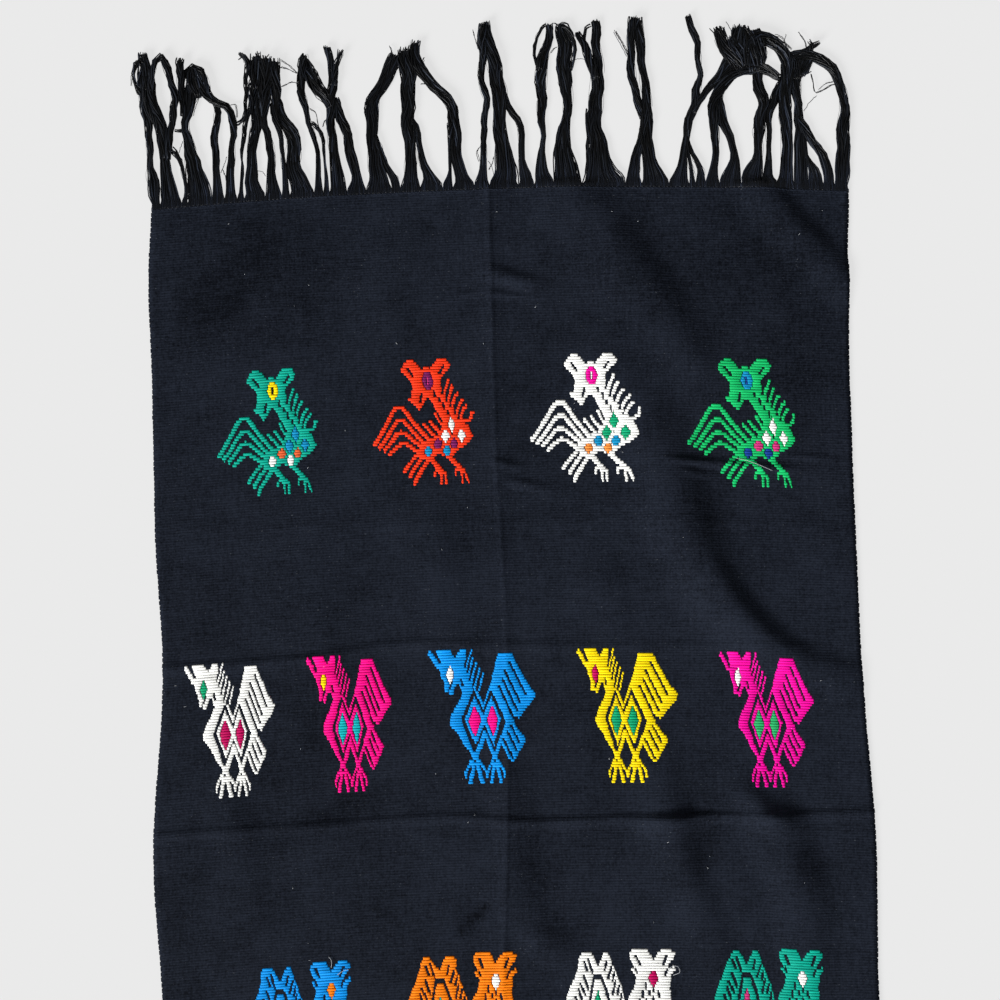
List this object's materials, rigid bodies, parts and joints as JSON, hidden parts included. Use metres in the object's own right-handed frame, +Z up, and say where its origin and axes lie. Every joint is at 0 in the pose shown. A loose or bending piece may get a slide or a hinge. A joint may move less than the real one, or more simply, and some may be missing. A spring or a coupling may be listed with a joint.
{
  "type": "woven table runner with warp fringe ends",
  "caption": "Long narrow hand-woven cotton table runner with rows of brocaded animals and a loose warp fringe at each end, lying flat.",
  "frame": {"origin": "middle of the cloth's underside, on the surface it lies on", "axes": "+Y along the runner towards the head fringe, +X across it, +Z up"},
  "size_m": [0.3926, 1.7135, 0.0057],
  "materials": {
    "cotton_cloth": "matt, slightly ribbed",
    "cotton_fringe": "fine twisted cotton ends"
  },
  "bodies": {
    "root": {"cloth": "cotton_cloth", "fringe_head": "cotton_fringe", "fringe_foot": "cotton_fringe"}
  },
  "joints": []
}
